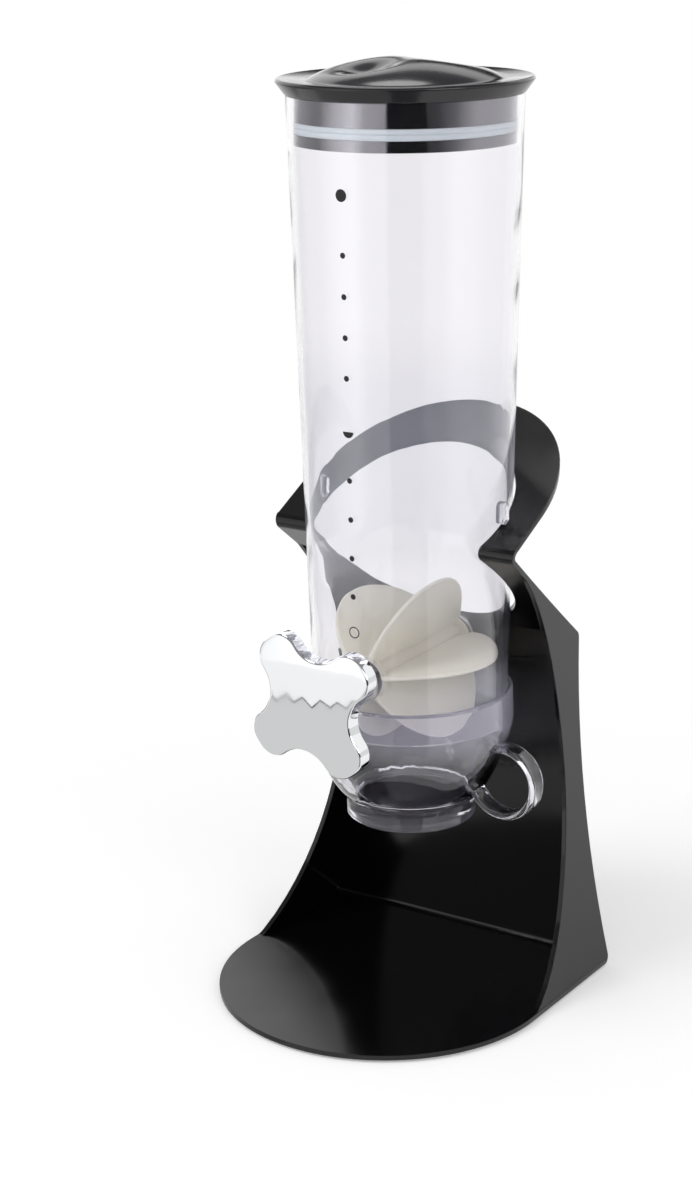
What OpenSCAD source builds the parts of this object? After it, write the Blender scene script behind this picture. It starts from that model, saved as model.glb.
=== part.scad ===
// Gravity bulk food bin: a clear canister with a paddle wheel, held upright by a folded sheet stand.
// +Z is up, the knob faces -Y, and the origin is the middle of the footprint on the floor.

/* [Overall] */
// Height from the floor to the top of the lid
total_h = 410; // [380:1:440]
// Height of the paddle wheel's shaft above the floor
shaft_z = 150.6; // [147:0.1:156]

/* [Stand] */
// Width of the base plate
base_w = 152; // [142:1:170]
// Gap between the cup and the back wall
wall_gap = 1.2; // [1:0.1:6]
// Distance from the canister's axis to the front tip of the base
front_y = 98; // [85:0.5:110]
// Thickness of the folded sheet
sheet_t = 2.2; // [1.5:0.1:2.4]
// Half of the stand's width at its waist
waist_x = 58; // [56:0.5:64]
// Height of the waist, where the side walls stand closest together
waist_z = 150; // [130:1:160]
// Height of the rear shoulder, where the back wall folds forward
shoulder_z = 157; // [150:0.5:162]
// Distance of the nose fold in front of the canister's axis
nose_y = 15; // [10:0.5:20]
// Height of the nose fold, where the sheet turns back to carry the canister
nose_z = 207.6; // [204:0.1:212]
// Rise of the ring plate for each millimetre back
ring_slope = 0.5; // [0.4:0.01:0.55]
// Distance from the canister's axis to the rear of the ring plate
ring_back = 70.5; // [64:0.5:76]
// Outer radius of the fold at the nose
fold_r = 4; // [3:0.1:6]
// Outer radius of the bend at the shoulder
shoulder_r = 4; // [3:0.1:8]
// Radial gap between the canister and the hole that it hangs in
hole_gap = 0.5; // [0.4:0.1:1.2]
// Depth of the side walls from the back wall to their front edge at the waist
wall_depth = 16; // [10:0.5:22]
// Height at which the front edge of a side wall turns upright
edge_z = 98; // [80:1:104]
// Outer radius of the bend between the base plate and the back wall
bend_r = 4.2; // [3:0.1:8]
// Height of the rubber feet under the base plate
foot_h = 1.2; // [0.8:0.1:2]
// Radius of a rubber foot
foot_r = 6; // [4:0.5:8]

/* [Canister] */
// Outer radius of the canister at its mouth
mouth_r = 49.8; // [49.4:0.1:52]
// Outer radius of the canister where the cup slips on
skirt_r = 43.3; // [43:0.05:43.6]
// Wall thickness of the canister
can_wall = 2.3; // [2:0.1:2.5]
// How far the canister reaches down into the cup
cup_socket = 14; // [11:0.5:18]
// Height of the lug that rests on the ring plate
lug_h = 10; // [7:0.5:14]
// Width of the lug
lug_w = 5; // [4:0.5:8]
// How far the lug stands out of the canister
lug_out = 3.6; // [3:0.1:5]
// Outer radius of the shaft boss on the canister
boss_r = 9.5; // [8.5:0.1:11]
// How far the front boss stands out of the canister
boss_out = 7.7; // [5:0.1:10]
// How far the two bosses reach in from the canister's outside
boss_in = 6.3; // [5:0.1:8]

/* [Lid] */
// How far the lid's rim stands out past the canister's mouth
lid_out = 4.1; // [3:0.1:7]
// Height of the lid's rim
lid_rim_h = 6.2; // [4.5:0.1:7.5]
// Width of the lid's flat rim around the domed grip
rim_w = 12.9; // [9:0.1:18]
// Height of the grip's ridge above the lid's rim
grip_h = 7.3; // [5:0.1:9]
// Depth of the lid's plug below the rim
plug_h = 19.6; // [16:0.2:24]
// Wall thickness of the plug
plug_wall = 2.4; // [2:0.1:3]
// Height of the gasket
gasket_h = 4.8; // [3:0.1:6]
// Depth of the plug's groove that holds the gasket
groove_d = 1.2; // [0.8:0.1:1.6]

/* [Cup] */
// Drop from the shaft to the cup's rim
cup_drop = 12.6; // [12:0.1:16]
// Height of the cup
cup_h = 60.5; // [56:0.5:66]
// Thickness of the cup's lip around the canister
cup_lip = 2.7; // [2.4:0.1:3]
// Outer radius of the cup's foot ring
cup_foot_r = 29; // [24:0.5:32]
// Wall thickness of the cup's bowl
cup_wall = 2.2; // [1.6:0.1:2.6]
// Outer radius of the handle's loop
loop_r = 17; // [15:0.5:19]
// Thickness of the handle's ribbon
loop_t = 3.2; // [2.4:0.1:4]
// Width of the handle's ribbon
loop_w = 9.5; // [7:0.5:14]

/* [Paddle wheel] */
// Number of flaps
flap_n = 6; // [6]
// Gap between the flaps' tips and the canister's wall
flap_gap = 0.6; // [0.4:0.1:2]
// Thickness of a flap
flap_t = 1.4; // [1:0.1:2]
// Angle of the first flap above the horizontal
flap_turn = 12; // [0:1:59]
// Radius of the shaft
shaft_r = 3; // [2.5:0.1:3.5]
// Outer radius of the hub
hub_r = 6.5; // [6:0.1:7.5]
// Gap between the hub's end and the boss beside it
hub_gap = 1.6; // [1:0.1:3]
// Radius of the hub's end discs
disc_r = 10; // [8.5:0.1:12]
// Thickness of an end disc
disc_t = 1.6; // [1:0.1:2.2]
// Radial clearance of every running and slip fit
fit_gap = 0.05; // [0.02:0.01:0.08]

/* [Knob] */
// Distance from the knob's centre to the tip of an arm
knob_r = 34; // [28:0.5:38]
// Half of an arm's width
arm_half = 10.2; // [8.6:0.1:11]
// Radius of the hollow between two arms
hollow_r = 14; // [8:0.5:16]
// Turn of the first arm above the horizontal
knob_turn = 38; // [0:1:89]
// Thickness of the knob
knob_t = 8; // [7:0.5:12]
// Distance of the knob's front face from the face of the boss
knob_out = 29; // [25:0.5:36]
// Wall thickness of the knob's shell
knob_wall = 2; // [1.5:0.1:2.5]

/* [Hidden] */
$fn = 96;
// Gap between a loose part and its seat.
seat_gap = 0.3;
// Bevel of a moulded edge.
bevel = 0.8;
// Length that reaches past everything, for cuts and for stock.
past = 300;
// Radii that follow from the canister's.
cup_r = skirt_r + cup_lip;
lid_r = mouth_r + lid_out;
grip_r = lid_r - rim_w;
flap_r = skirt_r - can_wall - flap_gap;
// Distances from the canister's axis, to the back and to the front.
back_y = cup_r + wall_gap + sheet_t;
boss_y = skirt_r + boss_out;
knob_y = boss_y + knob_out;
bush_reach = skirt_r - boss_in;
hub_half = bush_reach - hub_gap;
// The canister's axis stands behind the footprint's middle, so that the origin is centred.
axis_y = (front_y - ring_back) / 2;

// Heights of the canister and of the cup, from the shaft and from the lid.
can_top = total_h - grip_h - lid_rim_h - seat_gap;
cup_top = shaft_z - cup_drop;
cup_bottom = cup_top - cup_h;
can_bottom = cup_top - cup_socket;

// A point at a distance and an angle from a centre.
function polar(centre, r, a) = [centre[0] + r * cos(a), centre[1] + r * sin(a)];
// Points of an arc from one angle to another.
function arc(centre, r, a0, a1, steps = 10) = [
    for (i = [0 : steps]) polar(centre, r, a0 + (a1 - a0) * i / steps)
];
// Points of a cubic Bezier curve through a plane.
function bezier(p, steps = 12) = [
    for (i = [0 : steps]) let (t = i / steps, u = 1 - t)
        u * u * u * p[0] + 3 * t * u * u * p[1] + 3 * t * t * u * p[2] + t * t * t * p[3]
];
// A list of points from last to first.
function reversed(p) = [for (i = [len(p) - 1 : -1 : 0]) p[i]];

// Puts parts drawn about the canister's axis into the object's own frame.
module placed() translate([0, axis_y, 0]) children();
// A round bar about the shaft's axis, between two distances in front of the canister's axis.
module bar(r, y0, y1) translate([0, -y0, shaft_z]) rotate([90, 0, 0]) cylinder(r = r, h = y1 - y0);
// A tube about the shaft's axis.
module tube(r, bore, y0, y1) difference() {
    bar(r, y0, y1);
    bar(bore, y0 - 1, y1 + 1);
}
// A shape seen from the front, made as thick as the distances say.
module from_front(y0, y1) translate([0, -y0, 0]) rotate([90, 0, 0]) linear_extrude(y1 - y0) children();
// A shape seen from the right, made as wide as the object.
module from_right(half = past / 2) rotate([90, 0, 90]) translate([0, 0, -half])
    linear_extrude(2 * half) children();

// ---- Stand ----
flare = base_w / 2 - waist_x;
flare_h = waist_z - foot_h;
side_r = (flare_h * flare_h + flare * flare) / (2 * flare);
base_mid_y = front_y - base_w / 2;
bend_c = [back_y - bend_r, foot_h + bend_r];
// Half of the stand's width at a height.
function side_x(z) = waist_x + side_r - sqrt(side_r * side_r - pow(z - waist_z, 2));
fold_c = [fold_r - nose_y, nose_z];
shoulder = [back_y, shoulder_z];
to_fold = fold_c - shoulder;
panel_a = atan2(to_fold[1], to_fold[0]) + asin((fold_r - sheet_t) / norm(to_fold));
ring_a = atan(ring_slope);
shoulder_c = [back_y - shoulder_r, shoulder_z - shoulder_r * tan((panel_a - 90) / 2)];
ring_r = side_x(nose_z);
// Height of the ring plate's top face at a distance behind the canister's axis.
function ring_z(y) = fold_c[1] + fold_r * cos(ring_a) + ring_slope * (y - fold_c[0] + fold_r * sin(ring_a));
// The canister is straight up to just above the cup and widens from there to its mouth.
skirt_above_cup = 2;
skirt_top = cup_top + skirt_above_cup;
// Outer radius of the canister at a height.
function can_r(z) = skirt_r + (mouth_r - skirt_r) * max(0, z - skirt_top) / (can_top - skirt_top);
hole_r = can_r(ring_z(mouth_r)) + hole_gap;
front_edge = back_y - wall_depth;

// Everything inside the stand's outer side faces, seen from the front.
module between_sides(inset) difference() {
    translate([-base_w / 2 + inset, foot_h]) square([base_w - 2 * inset, past]);
    for (s = [-1, 1]) translate([s * (waist_x + side_r), waist_z]) circle(r = side_r + inset);
}
// One face of the folded sheet, from the foot of the back wall over the shoulder to the nose fold.
function wall_face(depth) = concat(
    [[bend_c[0] - sheet_t, foot_h + depth]],
    arc(bend_c, bend_r - depth, -90, 0),
    arc(shoulder_c, shoulder_r - depth, 0, panel_a - 90),
    arc(fold_c, fold_r - sheet_t + depth, panel_a + 90, ring_a + 90, 16)
);
// One face of the ring plate, from the nose fold back.
function ring_face(depth) = let (start = polar(fold_c, fold_r - sheet_t + depth, ring_a + 90))
    [start, polar(start, past / 2, ring_a)];
// The side walls' outline, seen from the right: swept front edge, sloping top and back wall.
sweep_rise = 13;
sweep_pull = 38;
nose_pull = 42;
nose_lean = [-18, -20];
module side_outline() polygon(concat(
    bezier([[-base_mid_y, foot_h], [front_edge * 0.4, foot_h + sweep_rise],
        [front_edge, edge_z - sweep_pull], [front_edge, edge_z]]),
    bezier([[front_edge, edge_z], [front_edge, edge_z + nose_pull],
        [front_edge, nose_z] + nose_lean, polar(fold_c, fold_r, panel_a + 90)]),
    [polar(fold_c, fold_r - sheet_t, panel_a + 90)],
    reversed(arc(shoulder_c, shoulder_r, 0, panel_a - 90)),
    reversed(arc(bend_c, bend_r, -90, 0))
));
module stand() color("#232326") placed() {
    // Base plate with a half-round front.
    translate([0, 0, foot_h]) linear_extrude(sheet_t) {
        difference() {
            translate([0, -base_mid_y]) circle(d = base_w);
            translate([-base_w / 2, bend_c[0]]) square(base_w);
        }
        translate([-base_w / 2, -base_mid_y]) square([base_w, bend_c[0] + base_mid_y]);
    }
    // Side walls, drawn in towards the waist.
    intersection() {
        from_front(-past, past) difference() {
            between_sides(0);
            between_sides(sheet_t);
        }
        from_right() side_outline();
    }
    // Back wall, sloping panel, nose fold and ring plate, folded from one sheet.
    difference() {
        union() {
            intersection() {
                from_right() polygon(concat(wall_face(0), reversed(wall_face(sheet_t))));
                from_front(-past, past) between_sides(0);
            }
            intersection() {
                from_right() polygon(concat(ring_face(0), reversed(ring_face(sheet_t))));
                linear_extrude(past) {
                    translate([0, ring_back - ring_r]) circle(r = ring_r);
                    translate([-ring_r, -front_y]) square([2 * ring_r, front_y + ring_back - ring_r]);
                }
            }
        }
        translate([0, 0, cup_bottom]) cylinder(r = hole_r, h = past);
    }
}
// Places of the rubber feet under the base plate.
foot_in = 12;
module foot_places() {
    for (s = [-1, 1]) translate([s * (base_w / 2 - foot_in), back_y - foot_in]) children();
    for (s = [-1, 1]) translate([0, -base_mid_y]) rotate(-90 + s * 35)
        translate([base_w / 2 - foot_in, 0]) children();
}
module rubber_feet() color("#1b1b1c") placed() foot_places() cylinder(r = foot_r, h = foot_h);

// ---- Canister ----
// The neck's bore is straight, and the plug and its gasket slide in it.
neck_step = 0.5;
neck_bore = mouth_r - can_wall - neck_step;
plug_bottom = can_top - plug_h;
neck_bottom = plug_bottom - 3;
bush_r = 5.5;
// Plastic left outside the rear bush's blind bore.
blind_wall = 1.4;
rear_wall = can_r(shaft_z) - blind_wall;
module canister() color("#e8e6f0", 0.4) placed() difference() {
    union() {
        rotate_extrude() polygon([[0, can_bottom], [skirt_r, can_bottom], [skirt_r, skirt_top],
            [mouth_r, can_top], [0, can_top]]);
        bar(boss_r, bush_reach, boss_y);
        // Lugs on both sides that rest on the ring plate.
        for (s = [-1, 1]) intersection() {
            translate([s * (can_r(ring_z(0)) - can_wall), 0, ring_z(0) + lug_h / 2])
                rotate([0, s * 90, 0]) lug();
            translate([0, 0, seat_gap]) above_ring();
        }
    }
    difference() {
        rotate_extrude() polygon([[0, can_bottom - 1], [skirt_r - can_wall, can_bottom - 1],
            [skirt_r - can_wall, skirt_top], [can_r(neck_bottom) - can_wall, neck_bottom],
            [neck_bore, neck_bottom], [neck_bore, can_top + 1], [0, can_top + 1]]);
        bar(boss_r, bush_reach, past);
        bar(boss_r, -past, -bush_reach);
    }
    bar(bush_r, -rear_wall, past);
}
// A lug: a bar with round ends, standing out along +Z.
module lug() linear_extrude(can_wall + lug_out) {
    square([lug_h - lug_w, lug_w], center = true);
    for (s = [-1, 1]) translate([s * (lug_h - lug_w) / 2, 0]) circle(d = lug_w);
}
// Everything above the ring plate's top face.
module above_ring() from_right() polygon([[-past, ring_z(-past)], [past, ring_z(past)],
    [past, past * 3], [-past, past * 3]]);

// ---- Lid ----
plug_gap = 0.6;
plug_r = neck_bore - plug_gap;
gasket_r = neck_bore - fit_gap;
gasket_z = can_top - plug_h * 0.76;
rim_round = 1.2;
rim_low_r = lid_r - lid_rim_h * 0.5;
rim_z = can_top + seat_gap;
rim_top_z = rim_z + lid_rim_h;
// Depth of the dish inside the rim, and how far the grip sinks into it.
rim_dish = 1;
grip_sink = 1.3;
scoop_at = grip_r * 0.45;
scoop_r = grip_r * 0.3;
scoop_share = 0.7;
// Depth of a scoop at a distance from its middle, as a share.
function bump(x, y) = exp(-(x * x + y * y) / (scoop_r * scoop_r));
// The grip's surface: a low dome with a scoop on each side of the ridge that the fingers hold.
function grip_form(x, y) = let (q = min(1, (x * x + y * y) / (grip_r * grip_r)))
    pow(1 - q, 0.8) - scoop_share * (bump(x - scoop_at, y) + bump(x + scoop_at, y)) * (1 - q * q);
function grip_z(x, y) = (grip_h + grip_sink) * grip_form(x, y) / grip_form(0, 0);
// Turn of the ridge from the front.
grip_turn = 62;
module grip(rings = 16, around = 60) {
    wall_to = -1;
    ring_points = [for (i = [1 : rings], k = [0 : around - 1])
        let (p = polar([0, 0], grip_r * i / rings, 360 * k / around)) [p[0], p[1], grip_z(p[0], p[1])]];
    points = concat([[0, 0, grip_z(0, 0)]], ring_points,
        [for (k = [0 : around - 1]) concat(polar([0, 0], grip_r, 360 * k / around), [wall_to])]);
    function at(i, k) = 1 + i * around + (k % around);
    faces = concat(
        [for (k = [0 : around - 1]) [0, at(0, k + 1), at(0, k)]],
        [for (i = [0 : rings - 1], k = [0 : around - 1]) [at(i, k), at(i, k + 1), at(i + 1, k + 1)]],
        [for (i = [0 : rings - 1], k = [0 : around - 1]) [at(i, k), at(i + 1, k + 1), at(i + 1, k)]],
        [[for (k = [0 : around - 1]) at(rings, k)]]
    );
    polyhedron(points, faces);
}
module lid_cap() color("#3a3a3e") placed() {
    rotate_extrude() polygon(concat(
        [[0, rim_z], [rim_low_r - bevel, rim_z], [rim_low_r, rim_z + bevel]],
        arc([lid_r - rim_round, rim_top_z - rim_round], rim_round, -25, 90, 6),
        [[grip_r + bevel * 1.5, rim_top_z - rim_dish], [0, rim_top_z - rim_dish]]
    ));
    translate([0, 0, rim_top_z - grip_sink]) rotate(grip_turn) grip();
}
module lid_plug() color("#2d2d31") placed() difference() {
    translate([0, 0, plug_bottom]) cylinder(r = plug_r, h = plug_h + seat_gap);
    translate([0, 0, plug_bottom + plug_wall])
        cylinder(r = plug_r - groove_d - plug_wall, h = plug_h);
    // Groove for the gasket.
    translate([0, 0, gasket_z - fit_gap]) difference() {
        cylinder(r = plug_r + 1, h = gasket_h + 2 * fit_gap);
        translate([0, 0, -1]) cylinder(r = plug_r - groove_d, h = gasket_h + 3);
    }
}
module lid_gasket() color("#dfe7ee") placed() translate([0, 0, gasket_z]) difference() {
    cylinder(r = gasket_r, h = gasket_h);
    translate([0, 0, -1]) cylinder(r = plug_r - groove_d + fit_gap, h = gasket_h + 2);
}

// ---- Catch cup ----
cup_bore = skirt_r + fit_gap;
ledge_z = can_bottom - seat_gap;
foot_ring_h = 7;
foot_ring_w = 3.4;
foot_hollow = 3;
bowl_floor = cup_bottom + 11;
// Outline of the bowl from the foot ring up to its widest, moved in by a wall.
function bowl(inset) = bezier([
    [cup_foot_r - 1 - inset, bowl_floor - 2.5 + inset], [cup_foot_r + 4 - inset, bowl_floor - 0.5 + inset],
    [cup_r - 3.2 - inset, bowl_floor + 15 + inset / 2], [cup_r - inset, ledge_z]
]);
module cup_stock() rotate_extrude() polygon(concat(
    [[0, cup_bottom + foot_hollow], [cup_foot_r - foot_ring_w, cup_bottom + foot_hollow],
        [cup_foot_r - foot_ring_w, cup_bottom], [cup_foot_r - bevel, cup_bottom],
        [cup_foot_r, cup_bottom + bevel], [cup_foot_r, cup_bottom + foot_ring_h]],
    bowl(0),
    [[cup_r - bevel / 2, cup_top - bevel], [cup_r - bevel * 1.5, cup_top], [0, cup_top]]
));
module cup_hollow() rotate_extrude() polygon(concat([[0, bowl_floor - 2.5 + cup_wall]],
    bowl(cup_wall), [[cup_bore, ledge_z], [cup_bore, cup_top + 1], [0, cup_top + 1]]));
// The finger loop starts under the cup's rim and ends at its foot.
loop_under_rim = 20;
loop_past_foot = 3;
loop_at = [cup_foot_r + loop_past_foot + loop_r, 0, cup_top - loop_under_rim - loop_r];
module finger_loop() rotate([90, 0, 0]) rotate_extrude() polygon(concat(
    arc([loop_r - loop_t / 2, loop_w / 2 - loop_t / 2], loop_t / 2, 0, 180, 6),
    arc([loop_r - loop_t / 2, loop_t / 2 - loop_w / 2], loop_t / 2, 180, 360, 6)
));
module catch_cup() color("#e2e2ec", 0.45) placed() difference() {
    union() {
        cup_stock();
        translate(loop_at) finger_loop();
    }
    cup_hollow();
}

// ---- Bearings in the canister ----
bush_bore = shaft_r + fit_gap;
flange_t = 1.2;
flange_in = 1.2;
seal_w = 2;
// Play between parts in line on the shaft.
bush_play = 0.2;
front_stop = boss_y + flange_t;
module front_bush() color("#d8d8d4") placed() difference() {
    union() {
        bar(bush_r, bush_reach + seal_w + bush_play, boss_y);
        bar(boss_r - flange_in, boss_y, front_stop);
    }
    bar(bush_bore, 0, past);
}
module shaft_seal() color("#2c2c2c") placed()
    tube(bush_r, bush_bore, bush_reach, bush_reach + seal_w);
module rear_bush() color("#d8d8d4") placed() tube(bush_r, bush_bore, -rear_wall, -bush_reach);

// ---- Paddle wheel ----
knob_back_y = knob_y - knob_t;
neck_r = 8.6;
screw_r = 1.5;
screw_deep = 9;
clip_t = 0.8;
clip_groove = 0.6;
clip_y = front_stop + bush_play;
flat_from = clip_y + clip_t + 1;
// Height of the shaft's flat above its centre, as a share of its radius.
flat_share = 0.6;
shaft_end = knob_back_y + knob_wall;
pin_r = 1;
pin_in = 5;
pin_y = hub_half - pin_in;
module drive_shaft() color("#b9bbbe") placed() difference() {
    bar(shaft_r, -rear_wall + seat_gap, shaft_end);
    // Groove for the retaining clip.
    tube(shaft_r + 1, shaft_r - clip_groove, clip_y, clip_y + clip_t);
    // Flat that the knob's socket drives.
    translate([-shaft_r, -past - flat_from, shaft_z + shaft_r * flat_share])
        cube([2 * shaft_r, past, shaft_r]);
    bar(screw_r, shaft_end - screw_deep, past);
    cross_hole();
}
// A bar across the shaft and the hub, midway between two flaps.
module cross_bar(length) about_shaft(flap_turn) translate([0, -pin_y, 0])
    cylinder(r = pin_r, h = length, center = true);
module cross_hole() cross_bar(3 * hub_r);
slot_gap = 0.1;
slot_d = 1.8;
module rotor_hub() color("#c9c5ba") placed() difference() {
    bar(hub_r, -hub_half, hub_half);
    bar(bush_bore, -past, past);
    cross_hole();
    for (k = [0 : flap_n - 1]) about_shaft(flap_angle(k))
        translate([hub_r - slot_d - slot_gap, -hub_half + disc_t, -flap_t / 2 - slot_gap])
            cube([hub_r, 2 * (hub_half - disc_t), flap_t + 2 * slot_gap]);
}
function flap_angle(k) = flap_turn + 360 * k / flap_n;
// Turns a shape about the shaft, from +X towards +Z.
module about_shaft(a) translate([0, 0, shaft_z]) rotate([0, -a, 0]) children();
// One flap: a half-round leaf with its root in the hub's slot, clear of the bearings.
module flap(k) color("#beb9af") placed() about_shaft(flap_angle(k)) {
    root = hub_half - disc_t - slot_gap;
    translate([0, 0, -flap_t / 2]) linear_extrude(flap_t) difference() {
        intersection() {
            circle(r = flap_r);
            translate([hub_r - slot_d, -past]) square(2 * past);
        }
        for (s = [-1, 1]) translate([0, s * (root + past / 2)])
            square([2 * (disc_r + 1), past], center = true);
    }
}
module end_disc(side) color("#c4c0b4") placed() mirror([0, side, 0])
    tube(disc_r, hub_r, hub_half - disc_t, hub_half);
module front_end_disc() end_disc(0);
module rear_end_disc() end_disc(1);
module hub_pin() color("#a8aaad") placed() cross_bar(2 * hub_r - 1);
module retaining_clip() color("#8f9194") placed() difference() {
    tube(shaft_r + 2.4, shaft_r - clip_groove, clip_y, clip_y + clip_t);
    translate([-shaft_r * 0.8, -past, shaft_z - past]) cube([shaft_r * 1.6, 2 * past, past]);
}

// ---- Knob ----
tip_r = arm_half - 1.4;
// A quarter of the knob's outline, moved in by a distance: an arm's end and the hollow beside it.
function arm(inset) = concat(
    arc([knob_r - tip_r, tip_r - arm_half], tip_r - inset, -90, 0, 6),
    arc([knob_r - tip_r, arm_half - tip_r], tip_r - inset, 0, 90, 6),
    arc([arm_half + hollow_r, arm_half + hollow_r], hollow_r + inset, 270, 180, 8)
);
arm_points = len(arm(0));
around = 4 * arm_points;
// The whole outline, moved in by a distance, as a share of its radius, at a height.
function outline(inset, share, z) = [
    for (k = [0 : 3], p = arm(inset)) let (r = norm(p) * share, a = atan2(p[1], p[0]) + 90 * k)
        concat(polar([0, 0], r, a), [z])
];
edge_r = 1;
crown = 1.4;
shell_side = knob_t - crown - edge_r;
face_z = knob_t - crown;
face_rings = 6;
pocket_d = face_z - knob_wall;
plate_t = 1.8;
// The chrome shell as one closed skin: pocket, back edge, side, rounded edge and crowned face.
module knob_shell() {
    rings = concat(
        [outline(knob_wall, 1, pocket_d), outline(knob_wall, 1, 0), outline(0, 1, 0)],
        [for (a = [0 : 30 : 90]) outline(edge_r * (1 - cos(a)), 1, shell_side + edge_r * sin(a))],
        [for (i = [face_rings - 1 : -1 : 1]) let (q = i / face_rings)
            outline(edge_r, q, face_z + crown * (1 - q * q))]
    );
    points = concat([for (r = rings, p = r) p], [[0, 0, knob_t], [0, 0, pocket_d]]);
    last = len(rings) - 1;
    function at(i, k) = i * around + (k % around);
    polyhedron(points, concat(
        [for (k = [0 : around - 1]) [at(0, k), at(0, k + 1), len(points) - 1]],
        [for (i = [0 : last - 1], k = [0 : around - 1]) [at(i, k), at(i + 1, k + 1), at(i, k + 1)]],
        [for (i = [0 : last - 1], k = [0 : around - 1]) [at(i, k), at(i + 1, k), at(i + 1, k + 1)]],
        [for (k = [0 : around - 1]) [at(last, k), len(points) - 2, at(last, k + 1)]]
    ));
}
// Puts a shape drawn in the knob's own plane in front of the canister.
module at_knob(y) translate([0, -y, shaft_z]) rotate([90, 0, 0]) rotate(knob_turn) children();
module knob_front() color("#d9dadc") placed() at_knob(knob_back_y) knob_shell();
module knob_back() color("#c6c8cb") placed() difference() {
    union() {
        at_knob(knob_back_y) linear_extrude(plate_t)
            polygon([for (p = outline(knob_wall + 2 * fit_gap, 1, 0)) [p[0], p[1]]]);
        bar(neck_r, flat_from - bush_play * 2, knob_back_y);
        bar(neck_r, knob_back_y, shaft_end);
    }
    difference() {
        bar(bush_bore, 0, shaft_end + fit_gap);
        // Flat in the socket, against the shaft's flat.
        translate([-2 * shaft_r, -past - flat_from, shaft_z + shaft_r * flat_share + fit_gap])
            cube([4 * shaft_r, past, shaft_r]);
    }
    bar(screw_r, 0, past);
}
screw_head_r = 2.8;
screw_head_h = 2;
module knob_screw() color("#9fa1a4") placed() {
    bar(screw_r - fit_gap, shaft_end - screw_deep + 1, shaft_end + 2 * fit_gap);
    bar(screw_head_r, shaft_end + fit_gap, shaft_end + screw_head_h);
}

stand();
rubber_feet();
canister();
lid_cap();
lid_plug();
lid_gasket();
catch_cup();
front_bush();
rear_bush();
shaft_seal();
drive_shaft();
rotor_hub();
flap(0);  // flap_1
flap(1);  // flap_2
flap(2);  // flap_3
flap(3);  // flap_4
flap(4);  // flap_5
flap(5);  // flap_6
front_end_disc();
rear_end_disc();
hub_pin();
retaining_clip();
knob_front();
knob_back();
knob_screw();
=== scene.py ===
"""Dresses a gravity bulk food bin: canister, lid, cup, paddle wheel, knob and folded stand."""

import math

import bmesh
import bpy
from bpy.props import FloatProperty, PointerProperty, StringProperty
from mathutils import Matrix, Vector


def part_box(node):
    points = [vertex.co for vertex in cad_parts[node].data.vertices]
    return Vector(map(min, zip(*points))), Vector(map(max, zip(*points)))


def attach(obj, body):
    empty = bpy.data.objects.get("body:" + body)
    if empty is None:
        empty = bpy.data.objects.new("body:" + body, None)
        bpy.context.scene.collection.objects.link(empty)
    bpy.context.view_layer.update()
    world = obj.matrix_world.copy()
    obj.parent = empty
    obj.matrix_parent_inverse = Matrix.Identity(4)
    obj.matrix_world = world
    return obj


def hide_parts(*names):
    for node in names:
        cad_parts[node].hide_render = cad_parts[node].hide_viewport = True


bl_info = {
    "name": "Gravity Food Bin",
    "version": (1, 0, 0),
    "blender": (4, 5, 0),
    "location": "3D View > Sidebar > Food Bin",
    "description": "Builds the looks of a gravity bulk food bin around its packed parts",
    "category": "Object",
}

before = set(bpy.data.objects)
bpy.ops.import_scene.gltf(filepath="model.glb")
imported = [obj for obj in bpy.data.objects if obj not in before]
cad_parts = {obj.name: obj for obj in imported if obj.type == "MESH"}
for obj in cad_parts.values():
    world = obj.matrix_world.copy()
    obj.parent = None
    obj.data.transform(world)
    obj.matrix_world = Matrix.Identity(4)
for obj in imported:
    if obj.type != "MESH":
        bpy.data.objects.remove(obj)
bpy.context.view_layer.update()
MM = 0.001

# Where the carried-over parts are: the lid's middle is the canister's, the hub's is the shaft's.
CAN_LOW, CAN_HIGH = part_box("canister")
LID_LOW, LID_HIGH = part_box("lid_cap")
GASKET_LOW, GASKET_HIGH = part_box("lid_gasket")
HUB_LOW, HUB_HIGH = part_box("rotor_hub")
DISC_LOW, DISC_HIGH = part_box("front_end_disc")
FLAP_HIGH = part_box("flap_1")[1]
KNOB_LOW, KNOB_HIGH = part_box("knob_front")
FEET_LOW, FEET_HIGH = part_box("rubber_feet")
AXIS_Y = (LID_LOW.y + LID_HIGH.y) / 2
SHAFT_Z = (HUB_LOW.z + HUB_HIGH.z) / 2
MOUTH_R = (CAN_HIGH.x - CAN_LOW.x) / 2

# Sizes that the frame's boxes don't show are in millimetres, and angles in degrees.
# The canister is straight up to one height and widens above it.
SKIRT_R_MM = 43.3
TAPER_FROM_MM = 140
# The share of milk in the clear pieces by height, which is painted reflection of the bright
# surroundings: in the cup's bowl, round its foot as painted refracted light, and in bands up the
# canister. Past a distance along +X all stays clear, as in the cup's finger loop.
CUP_PAINTED_REFLECTION = ((79.5, 0.05), (84, 0.02), (88, 0.0), (111, 0.0), (123, 0.15), (140, 0.15))
CAN_PAINTED_REFLECTION = ((100, 0.075), (142, 0.075), (157, 0.015), (172, 0.015), (190, 0.085),
            (262, 0.085), (298, 0.01), (410, 0.005))
CUP_CLEAR_PAST_MM = 46.0
CAN_CLEAR_PAST_MM = 70.0
# A flap's leaf: its root's distance from the shaft, its thickness at shaft, tip and beaded edge,
# the swell where it leaves the hub, and the room between its end and an end disc.
LEAF_ROOT_MM = 5.0
LEAF_THICK_MM = 1.7
LEAF_TIP_MM = 1.1
LEAF_BEAD_MM = 1.7
LEAF_BEAD_INSET = 1.3
LEAF_SWELL_MM = 0.7
LEAF_SWELL_AT_MM = 8.5
LEAF_SWELL_HALF_MM = 3.0
LEAF_NOTCH_MM = 1.0
LEAF_LAYERS = 22
LEAF_STEPS = 72
FLAP_COUNT = 6
FLAP_TURN = 12
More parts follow.
